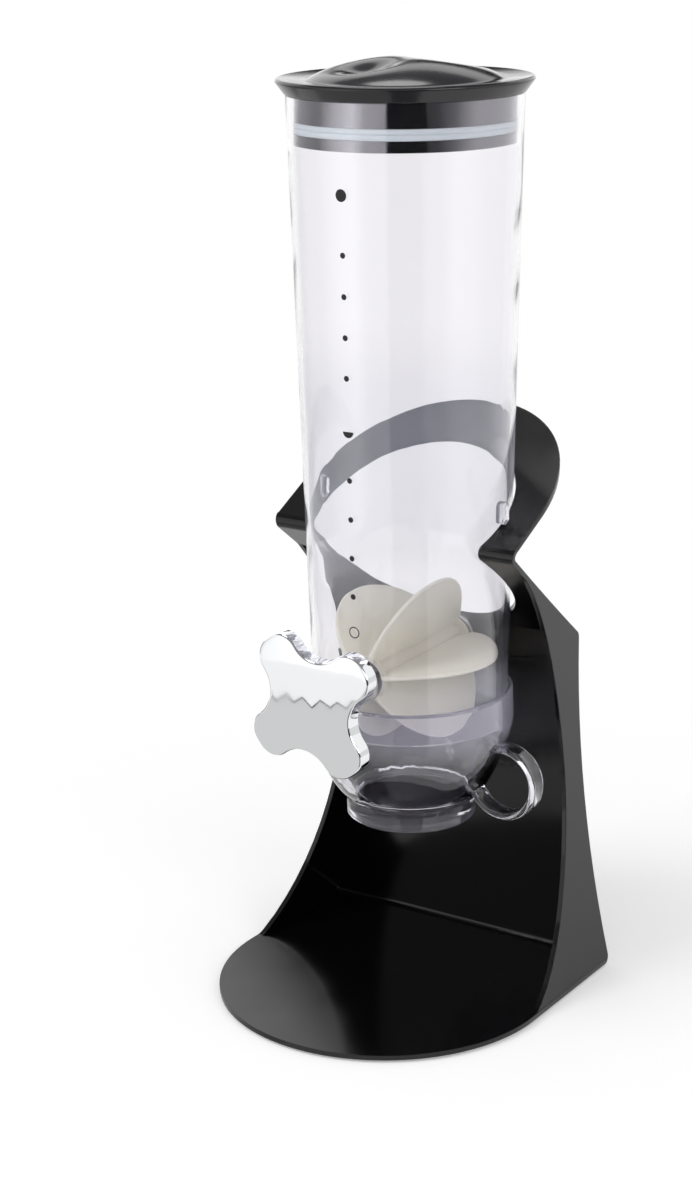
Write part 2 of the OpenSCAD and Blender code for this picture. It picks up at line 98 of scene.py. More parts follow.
# The lid: its grip, the dish round the grip, and its rounded rim. The grip's crown is the power
# of its dome, and its scoops' place, radius and depth are shares of the grip's own.
GRIP_R_MM = 41.0
GRIP_H_MM = 7.3
GRIP_SINK_MM = 1.3
GRIP_BLEND_MM = 0.35
GRIP_CROWN = 0.8
GRIP_LAYERS = 46
GRIP_TURN = 62
SCOOP_AT = 0.45
SCOOP_R = 0.3
SCOOP_SHARE = 0.55
DISH_MM = 1.0
# The dish outside the grip: distances from the grip's edge and heights above the dish.
DISH_RISE_MM = ((1.2, 0.0), (4.0, 0.28))
RIM_ROUND_MM = 1.2
RIM_FOOT_ROUND_MM = 0.8
UNDERSIDE_RING = 0.7
# The knob's outline, its wall, rounded edges and domed face.
KNOB_R_MM = 34.0
KNOB_ARM_HALF_MM = 10.2
KNOB_TIP_MM = 8.8
KNOB_HOLLOW_MM = 14.0
KNOB_WALL_MM = 2.0
KNOB_EDGE_MM = 1.0
KNOB_LIP_MM = 0.2
KNOB_CROWN_MM = 1.4
KNOB_TIP_STEPS = 12
KNOB_HOLLOW_STEPS = 18
KNOB_POCKET_LAYERS = 4
KNOB_FACE_LAYERS = 24
KNOB_TURN = 38
# The gasket's depth, and its two lips.
GASKET_DEEP_MM = 1.7
GASKET_ROUND_MM = 0.2
LIP_DEEP_MM = 0.55
LIP_SLACK_MM = 0.05
LIP_STEPS = 28
# The feet, and how far in from the side their shallow cup is and how deep.
FOOT_R_MM = 6.0
FOOT_ROUND_MM = 0.4
FOOT_CUP_MM = (1.8, 2.2)
FOOT_CUP_DEEP_MM = 0.3
FRONT_FOOT_X_MM = 36.7
# Steps round the lid and the gasket, and round a foot.
ROUND_STEPS = 180
FOOT_STEPS = 48
# Points closer than this, in metres, are joined.
SAME_POINT = 1e-6
# Heights of the printed level marks' middles: full, half and empty, and of the top small dots,
# then the small dots in a row, the width of the empty mark's ring and how far the ink stands off.
FULL_MARK_MM = 359.5
HALF_MARK_MM = 261.6
EMPTY_MARK_MM = 173.6
UPPER_DOTS_MM = 335.2
LOWER_DOTS_MM = 240.6
SMALL_DOTS = 4
MARK_RING_MM = 0.5
INK_MM = 0.03


# ---- Helpers ----

def linear(hex_colour):
    """The scene-linear RGBA of an sRGB hex colour."""
    channels = [int(hex_colour[i:i + 2], 16) / 255 for i in (1, 3, 5)]
    return [c / 12.92 if c <= 0.04045 else ((c + 0.055) / 1.055) ** 2.4 for c in channels] + [1.0]


def add_node(tree, kind, settings=(), values=(), links=()):
    """Adds a node: settings are its properties, values its sockets' and links what feeds them."""
    made = tree.nodes.new(kind)
    for name, value in dict(settings).items():
        setattr(made, name, value)
    for socket, value in dict(values).items():
        made.inputs[socket].default_value = value
    for socket, source in dict(links).items():
        tree.links.new(source, made.inputs[socket])
    return made


def new_material(name):
    """An empty node material, and its tree to fill."""
    material = bpy.data.materials.new(name)
    material.use_nodes = True
    tree = material.node_tree
    tree.nodes.clear()
    return material, tree


def finish_material(tree, shader):
    """Sends a shader to the material's surface."""
    add_node(tree, "ShaderNodeOutputMaterial", links={"Surface": shader.outputs[0]})


def grain(tree, spacing_mm, detail, roughness=0.5):
    """Noise of a real spacing that stays with the object, as its node."""
    place = add_node(tree, "ShaderNodeTexCoord")
    return add_node(tree, "ShaderNodeTexNoise",
                    values={"Scale": 1 / (spacing_mm * MM), "Detail": detail,
                            "Roughness": roughness},
                    links={"Vector": place.outputs["Object"]})


def fine_bump(tree, spacing_mm, height_mm, detail=3.0):
    """A surface grain of a real spacing and height, as a normal."""
    noise = grain(tree, spacing_mm, detail, 0.55)
    return add_node(tree, "ShaderNodeBump", values={"Strength": 1.0, "Distance": height_mm * MM},
                    links={"Height": noise.outputs["Fac"]}).outputs["Normal"]


def varied(tree, spacing_mm, low, high):
    """A value that wanders between two limits over the surface, such as a roughness."""
    noise = grain(tree, spacing_mm, 4.0)
    limits = {"From Min": 0.3, "From Max": 0.7, "To Min": low, "To Max": high}
    return add_node(tree, "ShaderNodeMapRange", values=limits,
                    links={"Value": noise.outputs["Fac"]}).outputs["Result"]


def grey_stops(ramp, stops, blend="LINEAR"):
    """Gives a colour ramp node its stops of (place, grey value), and returns its colour."""
    ramp.color_ramp.interpolation = blend
    elements = ramp.color_ramp.elements
    elements.remove(elements[0])
    elements[0].position = stops[0][0]
    elements[0].color = (stops[0][1],) * 3 + (1,)
    for place, value in stops[1:]:
        elements.new(place).color = (value,) * 3 + (1,)
    return ramp.outputs[0]


def new_mesh(name, vertices, faces):
    """Mesh data from points in metres and faces."""
    data = bpy.data.meshes.new(name)
    data.from_pydata([tuple(v) for v in vertices], [], faces)
    return data


def taken_from(carrier):
    """The mesh that an object's modifiers make; the object goes."""
    bpy.context.view_layer.update()
    graph = bpy.context.evaluated_depsgraph_get()
    made = bpy.data.meshes.new_from_object(carrier.evaluated_get(graph), depsgraph=graph)
    bpy.data.objects.remove(carrier)
    return made


def flat_kept(data):
    """The mesh with its normals weighted by face area, so that its flat faces mirror as flat."""
    carrier = bpy.data.objects.new("carrier", data)
    bpy.context.scene.collection.objects.link(carrier)
    rule = carrier.modifiers.new("by_area", "WEIGHTED_NORMAL")
    rule.keep_sharp = True
    rule.weight = 100
    return taken_from(carrier)


def finish_piece(name, data, body, material, replaces=(), smooth_angle=40, flat=False):
    """An object from mesh data, cleaned, shaded smooth up to an angle, and tied to its body."""
    work = bmesh.new()
    work.from_mesh(data)
    bmesh.ops.remove_doubles(work, verts=work.verts, dist=SAME_POINT)
    bmesh.ops.recalc_face_normals(work, faces=work.faces)
    limit = math.radians(smooth_angle)
    for edge in work.edges:
        edge.smooth = len(edge.link_faces) != 2 or edge.calc_face_angle(0.0) < limit
    for face in work.faces:
        face.smooth = True
    work.to_mesh(data)
    work.free()
    if flat:
        data = flat_kept(data)
    data.materials.clear()
    data.materials.append(material)
    piece = bpy.data.objects.new(name, data)
    bpy.context.scene.collection.objects.link(piece)
    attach(piece, body)
    if replaces:
        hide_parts(*replaces)
    return piece


def smooth_copy(node, body, material):
    """A carried-over part with its loose triangles joined, so that its round faces shade round."""
    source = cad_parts[node]
    data = source.data.copy()
    data.transform(source.matrix_world)
    if "custom_normal" in data.attributes:
        data.attributes.remove(data.attributes["custom_normal"])
    return finish_piece(node + "_skin", data, body, material, (node,),
                        smooth_angle=32, flat=True)


def joined(rings):
    """The points of all rings in one list."""
    return [point for ring in rings for point in ring]


def loft(rings, closed=True):
    """Faces between rings of points that all have the same count."""
    n = len(rings[0])
    faces = []
    for i in range(len(rings) - 1):
        for k in range(n if closed else n - 1):
            here, there = i * n + k, i * n + (k + 1) % n
            faces.append((here, there, there + n, here + n))
    return faces


def turned(profile, steps, centre, closed=False):
    """Points and faces of (radius, height) pairs turned about an upright line.

    A closed profile goes back to its first pair.
    """
    x, y = centre
    angles = [2 * math.pi * k / steps for k in range(steps)]
    rings = [[(x + r * math.cos(a), y + r * math.sin(a), z) for a in angles] for r, z in profile]
    if closed:
        rings.append(rings[0])
    return joined(rings), loft(rings)


def arc(centre, radius, start, end, steps):
    """Points of an arc, its angles in degrees."""
    angles = [math.radians(start + (end - start) * k / steps) for k in range(steps + 1)]
    return [(centre[0] + radius * math.cos(a), centre[1] + radius * math.sin(a)) for a in angles]


def baked(data, tree, inputs):
    """The mesh that a Geometry Nodes rule makes of a mesh, its inputs set by name."""
    carrier = bpy.data.objects.new(tree.name, data)
    bpy.context.scene.collection.objects.link(carrier)
    rule = carrier.modifiers.new("rule", "NODES")
    rule.node_group = tree
    for item in tree.interface.items_tree:
        if item.in_out == "INPUT" and item.name in inputs:
            rule[item.identifier] = inputs[item.name]
    return taken_from(carrier)


def new_rule(name, numbers):
    """A Geometry Nodes tree with a mesh in and out and named numbers in, and its input node."""
    tree = bpy.data.node_groups.new(name, "GeometryNodeTree")
    tree.interface.new_socket("Geometry", in_out="INPUT", socket_type="NodeSocketGeometry")
    for number, kind in numbers.items():
        tree.interface.new_socket(number, in_out="INPUT", socket_type=kind)
    tree.interface.new_socket("Geometry", in_out="OUTPUT", socket_type="NodeSocketGeometry")
    return tree, tree.nodes.new("NodeGroupInput").outputs


def finish_rule(tree, geometry, material):
    """Makes a rule's instances real, gives them their material and sends them out."""
    real = add_node(tree, "GeometryNodeRealizeInstances", links={"Geometry": geometry})
    dressed = add_node(tree, "GeometryNodeSetMaterial", values={"Material": material},
                       links={"Geometry": real.outputs["Geometry"]})
    add_node(tree, "NodeGroupOutput", links={"Geometry": dressed.outputs["Geometry"]})
    return tree


def paint(node, material):
    """Gives a carried-over node its material."""
    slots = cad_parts[node].data.materials
    slots.clear()
    slots.append(material)


# ---- Materials ----

def black_lacquer(hex_colour):
    """Sheet steel in black baked enamel: a deep black, faint orange peel and softened edges."""
    material, tree = new_material("black_baked_enamel_on_sheet_steel")
    edges = add_node(tree, "ShaderNodeBevel", settings={"samples": 6}, values={"Radius": 0.5 * MM})
    peel = grain(tree, 2.2, 3.0)
    normal = add_node(tree, "ShaderNodeBump", values={"Distance": 0.003 * MM},
                      links={"Height": peel.outputs["Fac"], "Normal": edges.outputs["Normal"]})
    shader = add_node(tree, "ShaderNodeBsdfPrincipled",
                      values={"Base Color": linear(hex_colour), "IOR": 1.46},
                      links={"Roughness": varied(tree, 30, 0.12, 0.17),
                             "Normal": normal.outputs["Normal"]})
    finish_material(tree, shader)
    return material


def clear_finish(tree, shader, hex_colour):
    """Lets shadow and diffuse rays straight through a clear shader: it casts no solid shadow."""
    passing = add_node(tree, "ShaderNodeBsdfTransparent", values={"Color": linear(hex_colour)})
    path = add_node(tree, "ShaderNodeLightPath")
    lit = add_node(tree, "ShaderNodeMath", settings={"operation": "MAXIMUM"},
                   links={0: path.outputs["Is Shadow Ray"], 1: path.outputs["Is Diffuse Ray"]})
    mixed = add_node(tree, "ShaderNodeMixShader",
                     links={0: lit.outputs[0], 1: shader.outputs[0], 2: passing.outputs[0]})
    finish_material(tree, mixed)


def clear_plastic(name, hex_colour, hex_reflection, roughness, reflection_by_height, clear_past_mm):
    """Clear moulded plastic made milky by height: painted reflection of the surroundings."""
    material, tree = new_material(name)
    clear = add_node(tree, "ShaderNodeBsdfPrincipled",
                     values={"Base Color": linear(hex_colour), "Roughness": roughness,
                             "IOR": 1.49, "Transmission Weight": 1.0})
    # The milky diffuse layer is painted reflection of the bright surroundings, its share set by
    # height.
    painted_milk = add_node(tree, "ShaderNodeBsdfDiffuse", values={"Color": linear(hex_reflection)})
    place = add_node(tree, "ShaderNodeTexCoord")
    parts = add_node(tree, "ShaderNodeSeparateXYZ", links={0: place.outputs["Object"]})
    height = add_node(tree, "ShaderNodeMapRange", values={"From Max": LID_HIGH.z},
                      links={"Value": parts.outputs["Z"]})
    veil = grey_stops(add_node(tree, "ShaderNodeValToRGB", links={0: height.outputs[0]}),
                      [(mm * MM / LID_HIGH.z, share) for mm, share in reflection_by_height], "EASE")
    inside = add_node(tree, "ShaderNodeMapRange",
                      values={"From Min": clear_past_mm * MM, "From Max": (clear_past_mm + 1) * MM,
                              "To Min": 1.0, "To Max": 0.0},
                      links={"Value": parts.outputs["X"]})
    share = add_node(tree, "ShaderNodeMath", settings={"operation": "MULTIPLY"},
                     links={0: veil, 1: inside.outputs[0]})
    wandering = add_node(tree, "ShaderNodeMath", settings={"operation": "MULTIPLY"},
                         links={0: share.outputs[0], 1: varied(tree, 60, 0.8, 1.2)})
    with_reflection = add_node(tree, "ShaderNodeMixShader",
                    links={0: wandering.outputs[0], 1: clear.outputs[0], 2: painted_milk.outputs[0]})
    clear_finish(tree, with_reflection, hex_colour)
    return material


def plain_plastic(name, hex_colour, rough_low, rough_high, grain_mm=1.5, height_mm=0.003):
    """Moulded opaque plastic or rubber: a little wander in its gloss and a fine moulded skin."""
    material, tree = new_material(name)
    shader = add_node(tree, "ShaderNodeBsdfPrincipled",
                      values={"Base Color": linear(hex_colour), "IOR": 1.5},
                      links={"Roughness": varied(tree, 20, rough_low, rough_high),
                             "Normal": fine_bump(tree, grain_mm, height_mm)})
    finish_material(tree, shader)
    return material


def silicone(name, hex_colour, hex_deep, scatter_mm):
    """Moulded silicone rubber: soft sheen and light that soaks in, cloudier where it is thick."""
    material, tree = new_material(name)
    cloud = grain(tree, 22, 2.0)
    colour = add_node(tree, "ShaderNodeMix", settings={"data_type": "RGBA"},
                      values={6: linear(hex_colour), 7: linear(hex_deep)},
                      links={0: cloud.outputs["Fac"]})
    shader = add_node(tree, "ShaderNodeBsdfPrincipled",
                      values={"Roughness": 0.42, "IOR": 1.41, "Subsurface Weight": 0.5,
                              "Subsurface Radius": (1.0, 0.9, 0.75),
                              "Subsurface Scale": scatter_mm * MM},
                      links={"Base Color": colour.outputs[2], "Normal": fine_bump(tree, 3, 0.01)})
    finish_material(tree, shader)
    return material


def plated(name, hex_colour, roughness, ripple_mm):
    """Chrome plating: a mirror with a hint of ripple from the moulding below.

    Roughness is its spacing and its two limits. Black chrome is the same mirror, darker and a
    little softer, so that it shows the lights as grey bands.
    """
    material, tree = new_material(name)
    shader = add_node(tree, "ShaderNodeBsdfPrincipled",
                      values={"Base Color": linear(hex_colour), "Metallic": 1.0},
                      links={"Roughness": varied(tree, *roughness),
                             "Normal": fine_bump(tree, 9, ripple_mm, 1.0)})
    finish_material(tree, shader)
    return material


def turned_steel():
    """Turned stainless steel: fine rings from the lathe and a dull shine."""
    material, tree = new_material("turned_stainless_steel")
    place = add_node(tree, "ShaderNodeTexCoord")
    # Real lathe rings are too fine to show, so these are 3.8 mm apart. A wave texture's bands
    # are 2 pi / 20 of a unit of its scaled coordinates apart.
    rings = add_node(tree, "ShaderNodeTexWave",
                     settings={"wave_type": "BANDS", "bands_direction": "Y"},
                     values={"Scale": 2 * math.pi / 20 / (3.77 * MM), "Distortion": 1.0},
                     links={"Vector": place.outputs["Object"]})
    bump = add_node(tree, "ShaderNodeBump", values={"Distance": 0.01 * MM},
                    links={"Height": rings.outputs["Fac"]})
    shader = add_node(tree, "ShaderNodeBsdfPrincipled",
                      values={"Base Color": linear("#B9BABC"), "Metallic": 1.0, "Roughness": 0.3},
                      links={"Normal": bump.outputs["Normal"]})
    finish_material(tree, shader)
    return material


# ---- Pieces ----

def leaf_mesh():
    """One flap, lying along +X from the shaft: a half-round leaf, beaded at its edge."""
    reach = FLAP_HIGH.x
    root_x = LEAF_ROOT_MM * MM
    root_y = DISC_LOW.y - AXIS_Y
    notch_x = (DISC_HIGH.z - DISC_LOW.z) / 2 + LEAF_NOTCH_MM * MM
    notch = math.degrees(math.acos(notch_x / reach))
    edge = arc((0, 0), reach, -notch, notch, LEAF_STEPS)
    border = [(root_x, root_y), *edge, (root_x, -root_y)]
    bead = LEAF_BEAD_MM * MM / 2

    def half_thickness(x):
        off = abs(x - LEAF_SWELL_AT_MM * MM) / (LEAF_SWELL_HALF_MM * MM)
        thin = LEAF_TIP_MM + (LEAF_THICK_MM - LEAF_TIP_MM) * max(0.0, 1 - x / reach)
        return (thin + LEAF_SWELL_MM * max(0.0, 1 - off)) * MM / 2

    def layer(share, lift):
        shrunk = [(root_x + share * (x - root_x), share * y) for x, y in border]
        return [(x, y, lift(x)) for x, y in shrunk]

    def bead_layer(lean):
        inset = 1 - bead * (LEAF_BEAD_INSET - math.cos(lean)) / reach
        return layer(inset, lambda x: bead * math.sin(lean))

    shares = [k / LEAF_LAYERS for k in range(LEAF_LAYERS)]
    rings = [layer(share, half_thickness) for share in shares]
    rings += [bead_layer(math.radians(lean)) for lean in range(75, -90, -15)]
    rings += [layer(share, lambda x: -half_thickness(x)) for share in reversed(shares)]
    faces = loft(rings, closed=False)
    # The root's cut faces, between the first and between the last points of facing rings.
    n = len(border)
    for k in range(len(rings) // 2 - 1):
        facing = (k, k + 1, len(rings) - 2 - k, len(rings) - 1 - k)
        faces.append(tuple(i * n for i in facing))
        faces.append(tuple(i * n + n - 1 for i in reversed(facing)))
    return new_mesh("leaf", joined(rings), faces)


def leaves_rule(material):
    """Sets a leaf round the shaft by count and first turn, and lets each sag under its weight."""
    tree, given = new_rule("leaves_round_a_shaft", {
        "Count": "NodeSocketInt", "First Turn": "NodeSocketFloat", "Shaft": "NodeSocketVector",
        "Reach": "NodeSocketFloat", "Sag": "NodeSocketFloat"})
    points = add_node(tree, "GeometryNodePoints",
                      links={"Count": given["Count"], "Position": given["Shaft"]})
    index = add_node(tree, "GeometryNodeInputIndex")
    share = add_node(tree, "ShaderNodeMath", settings={"operation": "DIVIDE"},
                     links={0: index.outputs[0], 1: given["Count"]})
    turn = add_node(tree, "ShaderNodeMath", settings={"operation": "MULTIPLY_ADD"},
                    values={1: -2 * math.pi},
                    links={0: share.outputs[0], 2: given["First Turn"]})
    angle = add_node(tree, "ShaderNodeCombineXYZ", links={"Y": turn.outputs[0]})
    leaves = add_node(tree, "GeometryNodeInstanceOnPoints",
                      links={"Points": points.outputs[0], "Instance": given["Geometry"],
                             "Rotation": angle.outputs[0]})
    real = add_node(tree, "GeometryNodeRealizeInstances", links={"Geometry": leaves.outputs[0]})
    place = add_node(tree, "GeometryNodeInputPosition")
    parts = add_node(tree, "ShaderNodeSeparateXYZ", links={0: place.outputs[0]})
    out = add_node(tree, "ShaderNodeMath", settings={"operation": "DIVIDE"},
                   links={0: parts.outputs["X"], 1: given["Reach"]})
    sag = add_node(tree, "ShaderNodeMath", settings={"operation": "MULTIPLY"},
                   links={0: out.outputs[0], 1: given["Sag"]})
    turned_down = add_node(tree, "ShaderNodeVectorRotate", settings={"rotation_type": "Y_AXIS"},
                           links={"Vector": place.outputs[0], "Center": given["Shaft"],
                                  "Angle": sag.outputs[0]})
    moved = add_node(tree, "GeometryNodeSetPosition",
                     links={"Geometry": real.outputs[0], "Position": turned_down.outputs[0]})
    return finish_rule(tree, moved.outputs[0], material)


def dot_mesh(radius, hole=0.0, half=False):
    """A flat printed dot, ring or lower half, drawn with X across and Z up, fine enough to wrap."""
    start, end = (180, 360) if half else (0, 360)
    steps, layers = 40, 6
    rings = [arc((0, 0), hole + (radius - hole) * i / layers, start, end, steps)
             for i in range(layers + 1)]
    return new_mesh("dot", [(x, 0.0, z) for x, z in joined(rings)], loft(rings, closed=False))


def marks_rule(material):
    """Sets printed marks one below the other, and wraps them all on the tapered canister."""
    tree, given = new_rule("marks_down_a_canister", {
        "Count": "NodeSocketInt", "Top": "NodeSocketFloat", "Pitch": "NodeSocketFloat",
        "Radius Low": "NodeSocketFloat", "Radius High": "NodeSocketFloat",
        "Height Low": "NodeSocketFloat", "Height High": "NodeSocketFloat",
        "Axis Y": "NodeSocketFloat", "Ink": "NodeSocketFloat"})
    start = add_node(tree, "ShaderNodeCombineXYZ", links={"Z": given["Top"]})
    down = add_node(tree, "ShaderNodeMath", settings={"operation": "MULTIPLY"}, values={1: -1.0},
                    links={0: given["Pitch"]})
    step = add_node(tree, "ShaderNodeCombineXYZ", links={"Z": down.outputs[0]})
    line = add_node(tree, "GeometryNodeMeshLine", settings={"mode": "OFFSET"},
                    links={"Count": given["Count"], "Start Location": start.outputs[0],
                           "Offset": step.outputs[0]})
    marks = add_node(tree, "GeometryNodeInstanceOnPoints",
                     links={"Points": line.outputs[0], "Instance": given["Geometry"]})
    real = add_node(tree, "GeometryNodeRealizeInstances", links={"Geometry": marks.outputs[0]})
    place = add_node(tree, "GeometryNodeInputPosition")
    parts = add_node(tree, "ShaderNodeSeparateXYZ", links={0: place.outputs[0]})
    radius = add_node(tree, "ShaderNodeMapRange", links={
        "Value": parts.outputs["Z"],
        "From Min": given["Height Low"], "From Max": given["Height High"],
        "To Min": given["Radius Low"], "To Max": given["Radius High"]})
    inked = add_node(tree, "ShaderNodeMath", links={0: radius.outputs[0], 1: given["Ink"]})
    turn = add_node(tree, "ShaderNodeMath", settings={"operation": "DIVIDE"},
                    links={0: parts.outputs["X"], 1: inked.outputs[0]})
    sine, cosine = (add_node(tree, "ShaderNodeMath", settings={"operation": operation},
                             links={0: turn.outputs[0]}) for operation in ("SINE", "COSINE"))
    x = add_node(tree, "ShaderNodeMath", settings={"operation": "MULTIPLY"},
                 links={0: sine.outputs[0], 1: inked.outputs[0]})
    depth = add_node(tree, "ShaderNodeMath", settings={"operation": "MULTIPLY"},
                     links={0: cosine.outputs[0], 1: inked.outputs[0]})
    y = add_node(tree, "ShaderNodeMath", settings={"operation": "SUBTRACT"},
                 links={0: given["Axis Y"], 1: depth.outputs[0]})
    wrapped = add_node(tree, "ShaderNodeCombineXYZ",
                       links={"X": x.outputs[0], "Y": y.outputs[0], "Z": parts.outputs["Z"]})
    moved = add_node(tree, "GeometryNodeSetPosition",
                     links={"Geometry": real.outputs[0], "Position": wrapped.outputs[0]})
    return finish_rule(tree, moved.outputs[0], material)


def grip_height(x, y):
    """Height of the lid's grip: a low dome with a scoop on each side of the ridge between them."""
    grip_r = GRIP_R_MM * MM

    def form(u, v):
        q = min(1.0, (u * u + v * v) / grip_r ** 2)
        reach = SCOOP_R * grip_r
        scoops = sum(math.exp(-((u + side * SCOOP_AT * grip_r) ** 2 + v * v) / reach ** 2)
                     for side in (-1, 1))
        return (1 - q) ** GRIP_CROWN - SCOOP_SHARE * scoops * (1 - q * q)

    turn = math.radians(-GRIP_TURN)
    u = x * math.cos(turn) - y * math.sin(turn)
    v = x * math.sin(turn) + y * math.cos(turn)
    return (GRIP_H_MM + GRIP_SINK_MM) * MM * form(u, v) / form(0, 0)


def lid_mesh():
    """The lid's cap: rounded rim, shallow dish and scooped grip as one skin."""
    rim_r = (LID_HIGH.x - LID_LOW.x) / 2
    rim_top = LID_HIGH.z - GRIP_H_MM * MM
    dish = rim_top - DISH_MM * MM
    grip_r, soft = GRIP_R_MM * MM, GRIP_BLEND_MM * MM

    def level(x, y):
        """The higher of grip and dish, with a soft change from one to the other."""
        grip = rim_top - GRIP_SINK_MM * MM + grip_height(x, y)
        return soft * math.log(math.exp((grip - dish) / soft) + 1) + dish

    disc = turned([(grip_r * i / GRIP_LAYERS, 0.0) for i in range(GRIP_LAYERS + 1)],
                  ROUND_STEPS, (0.0, 0.0))[0]
    points = [(x, AXIS_Y + y, level(x, y)) for x, y, _ in disc]
    edge, foot = RIM_ROUND_MM * MM, RIM_FOOT_ROUND_MM * MM
    foot_r = rim_r - (rim_top - LID_LOW.z) / 2
    profile = [(grip_r + out * MM, dish + rise * MM) for out, rise in DISH_RISE_MM]
    profile += arc((rim_r - edge, rim_top - edge), edge, 105, -25, 14)
    profile += arc((foot_r - foot, LID_LOW.z + foot), foot, -20, -90, 6)
    profile += [(foot_r * UNDERSIDE_RING, LID_LOW.z), (0.0, LID_LOW.z)]
    points += turned(profile, ROUND_STEPS, (0.0, AXIS_Y))[0]
    rings = [points[i:i + ROUND_STEPS] for i in range(0, len(points), ROUND_STEPS)]
    return new_mesh("lid", points, loft(rings))


def knob_arm(inset):
    """A quarter of the knob's outline: an arm's end and the hollow beside it."""
    half, tip = KNOB_ARM_HALF_MM * MM, KNOB_TIP_MM * MM
    reach, hollow = KNOB_R_MM * MM, KNOB_HOLLOW_MM * MM
    return (arc((reach - tip, tip - half), tip - inset, -90, 0, KNOB_TIP_STEPS)
            + arc((reach - tip, half - tip), tip - inset, 0, 90, KNOB_TIP_STEPS)
            + arc((half + hollow, half + hollow), hollow + inset, 270, 180, KNOB_HOLLOW_STEPS))


def knob_ring(inset, share, height):
    """The knob's outline in its place, moved in and shrunk, its height by how far out it is."""
    ring = []
    for quarter in range(4):
        a = math.radians(KNOB_TURN + 90 * quarter)
        for u, v in knob_arm(inset):
            x = share * (u * math.cos(a) - v * math.sin(a))
            z = share * (u * math.sin(a) + v * math.cos(a))
            ring.append((x, KNOB_HIGH.y - height(math.hypot(x, z)), SHAFT_Z + z))
    return ring


def knob_mesh():
    """The knob's chrome shell: pocket, back edge, side, rounded edge and domed face."""
    thick = KNOB_HIGH.y - KNOB_LOW.y
    wall, edge, crown = KNOB_WALL_MM * MM, KNOB_EDGE_MM * MM, KNOB_CROWN_MM * MM
    lip = KNOB_LIP_MM * MM

    def flat(height):
        return lambda r: height

    def dome(drop):
        return lambda r: thick - crown * (r / (KNOB_R_MM * MM)) ** 2 - drop

    rings = [knob_ring(wall, k / KNOB_POCKET_LAYERS, dome(wall))
             for k in range(KNOB_POCKET_LAYERS + 1)]
    for inset, height in ((wall, flat(lip)), (wall - lip, flat(0)), (lip, flat(0)),
                          (0, flat(lip)), (0, dome(edge))):
        rings.append(knob_ring(inset, 1, height))
    for lean in range(15, 91, 15):
        a = math.radians(lean)
        rings.append(knob_ring(edge * (1 - math.cos(a)), 1, dome(edge - edge * math.sin(a))))
    rings += [knob_ring(edge, k / KNOB_FACE_LAYERS, dome(0))
              for k in reversed(range(KNOB_FACE_LAYERS))]
    return new_mesh("knob", joined(rings), loft(rings))


def gasket_mesh():
    """The lid's silicone ring: a round-backed band with two soft lips."""
    outer = (GASKET_HIGH.x - GASKET_LOW.x) / 2
    inner = outer - GASKET_DEEP_MM * MM
    low, high = GASKET_LOW.z, GASKET_HIGH.z
    profile = [(inner, low + GASKET_ROUND_MM * MM), (inner, high - GASKET_ROUND_MM * MM)]
    for k in range(LIP_STEPS + 1):
        share = k / LIP_STEPS
        lips = abs(math.cos(2 * math.pi * share + math.pi / 2)) ** 0.5
        back = LIP_DEEP_MM * MM * (1 - lips) + LIP_SLACK_MM * MM
        profile.append((outer - back, high + (low - high) * share))
    return new_mesh("gasket", *turned(profile, ROUND_STEPS, (0.0, AXIS_Y), closed=True))


def feet_mesh():
    """Four moulded rubber feet with a rounded edge and a shallow cup underneath."""
    radius, edge, deep = FOOT_R_MM * MM, FOOT_ROUND_MM * MM, FOOT_CUP_DEEP_MM * MM
    cup_edge, cup_floor = (radius - inset * MM for inset in FOOT_CUP_MM)
    profile = [(0.0, FEET_HIGH.z), (radius, FEET_HIGH.z)]
    profile += arc((radius - edge, edge), edge, 0, -90, 6)
    profile += [(cup_edge, 0.0), (cup_floor, deep), (0.0, deep)]
    rear, front = FEET_HIGH.y - radius, FEET_LOW.y + radius
    front_x = FRONT_FOOT_X_MM * MM
    points, faces = [], []
    for place in ((FEET_LOW.x + radius, rear), (FEET_HIGH.x - radius, rear),
                  (-front_x, front), (front_x, front)):
        some, between = turned(profile, FOOT_STEPS, place)
        faces += [tuple(i + len(points) for i in face) for face in between]
        points += some
    return new_mesh("feet", points, faces)


def make_marks(settings):
    """Prints the level marks on the canister's front."""
    ink = plain_plastic("black_screen_ink", "#1C1C1F", 0.45, 0.6)
    rule = marks_rule(ink)
    small, big = settings.small_dot, settings.big_dot
    for name, dot, count, top in (
            ("mark_full", dot_mesh(big), 1, FULL_MARK_MM),
            ("marks_upper", dot_mesh(small), SMALL_DOTS, UPPER_DOTS_MM),
            ("mark_half", dot_mesh(big, half=True), 1, HALF_MARK_MM),
            ("marks_lower", dot_mesh(small), SMALL_DOTS, LOWER_DOTS_MM),
            ("mark_empty", dot_mesh(big, hole=big - MARK_RING_MM * MM), 1, EMPTY_MARK_MM)):
        wrapped = baked(dot, rule, {
            "Count": count, "Top": top * MM, "Pitch": settings.dot_pitch,
            "Radius Low": SKIRT_R_MM * MM, "Radius High": MOUTH_R,
            "Height Low": TAPER_FROM_MM * MM, "Height High": CAN_HIGH.z,
            "Axis Y": AXIS_Y, "Ink": INK_MM * MM})
        finish_piece(name, wrapped, "bin", ink)


# ---- Settings ----

